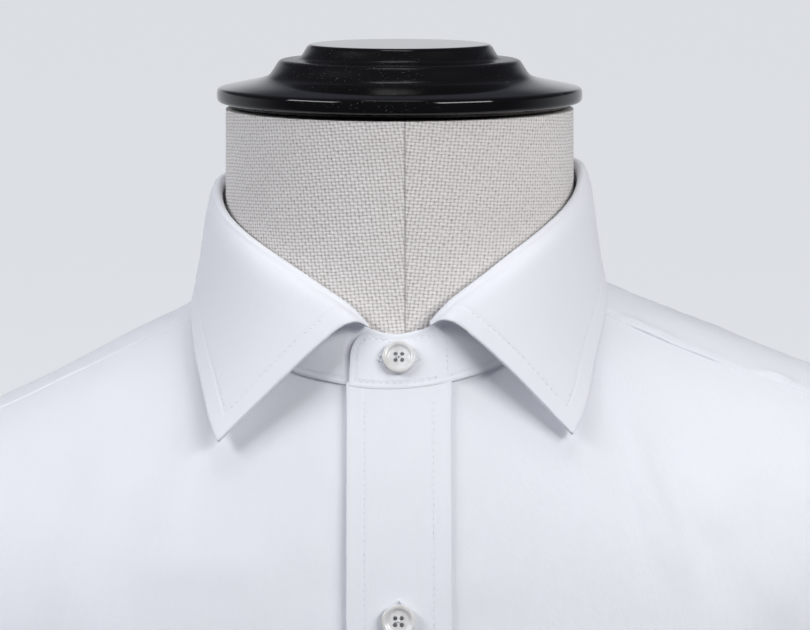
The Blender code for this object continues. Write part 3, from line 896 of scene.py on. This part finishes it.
def makeFloor():
    deselectAll()
    bpy.ops.mesh.primitive_circle_add(vertices=96, radius=60, fill_type="TRIFAN", location=(0, 0, -0.0002))
    floor = bpy.context.object
    floor.name = floor.data.name = "studio_floor"
    applyPlace(floor)
    finish = Finish(bpy.data.materials.new("studio paper"), Roughness=0.95)
    finish.shader.inputs["Specular IOR Level"].default_value = 0.0
    place = finish.objectPlace()
    reach = finish.node("ShaderNodeVectorMath", {"operation": "LENGTH"}, {0: place}, 1)
    # The paper glows: painted light, rising from near the form to far behind
    glow = finish.mixColours(finish.clamp(reach, paper["clearFrom"], paper["clearTo"]), paper["near"], paper["far"])
    grain = finish.noise(place, 3.0, 2.0)
    colour = finish.mixColours(grain, paper["colour"], tuple(part * 1.02 for part in paper["colour"]))
    finish.give(finish.shader, {"Base Color": colour, "Emission Color": glow, "Emission Strength": 1.0})
    floor.data.materials.append(finish.owner)
    floor.visible_diffuse = floor.visible_glossy = False  # its glow lights nothing and isn't mirrored


makeFloor()

lights = [
    # name, place, aim, size, power, colour, mirrored in gloss
    ("softbox right", (1.2, -1.3, 1.42), (0, 0, 0.42), (1.2, 0.5), 24, (1.0, 0.992, 0.98), True),
    ("softbox left", (-1.55, -0.9, 1.6), (0, 0, 0.42), (1.2, 0.5), 21, (0.97, 0.98, 1.0), True),
    ("overhead", (-0.1, 0.05, 1.9), (0, 0, 0.4), (1.2, 1.2), 5.4, (0.98, 0.985, 1.0), False),
    ("small overhead", (-0.05, -0.12, 1.9), (0, 0, 0.4), (0.5, 0.25), 1.4, (0.98, 0.985, 1.0), True),
    ("low fill", (0.2, -2.4, 0.15), (0, 0, 0.35), (1.6, 0.8), 5, (0.99, 0.99, 1.0), False),
]
for lightName, place, aim, (sizeX, sizeY), power, tint, isMirrored in lights:
    lamp = bpy.data.lights.new(lightName, "AREA")
    lamp.shape = "RECTANGLE"
    lamp.size = sizeX
    lamp.size_y = sizeY
    lamp.energy = power
    lamp.color = tint
    lampObject = bpy.data.objects.new(lightName, lamp)
    lampObject.location = place
    lampObject.rotation_euler = (Vector(aim) - Vector(place)).to_track_quat("-Z", "Y").to_euler()
    lampObject.visible_glossy = isMirrored
    bpy.context.scene.collection.objects.link(lampObject)

air = Finish(bpy.data.worlds.new("studio air"), "Background")
direction = air.node("ShaderNodeTexCoord", {}, {})
_, behind, above = air.split(direction)
backdrop = air.clamp(behind, -0.35, 0.6) * (1 - air.clamp(above, 0.12, 0.36))
air.give(air.shader, {"Color": air.mixColours(
    backdrop, (0.095, 0.10, 0.125, 1), (0.76, 0.78, 0.82, 1)), "Strength": 1.0})
bpy.context.scene.world = air.owner
bpy.context.scene.view_settings.view_transform = "Standard"

camera = bpy.data.cameras.new("photo camera")
camera.lens = 155.6
camera.sensor_width = 36
cameraObject = bpy.data.objects.new("photo camera", camera)
cameraObject.location = (0.0019, -1.237, neckTop + 0.0936)
cameraObject.rotation_euler = (math.radians(90 - 7.71), 0, 0)
bpy.context.scene.collection.objects.link(cameraObject)
bpy.context.scene.camera = cameraObject
print("stage, lights and camera set")
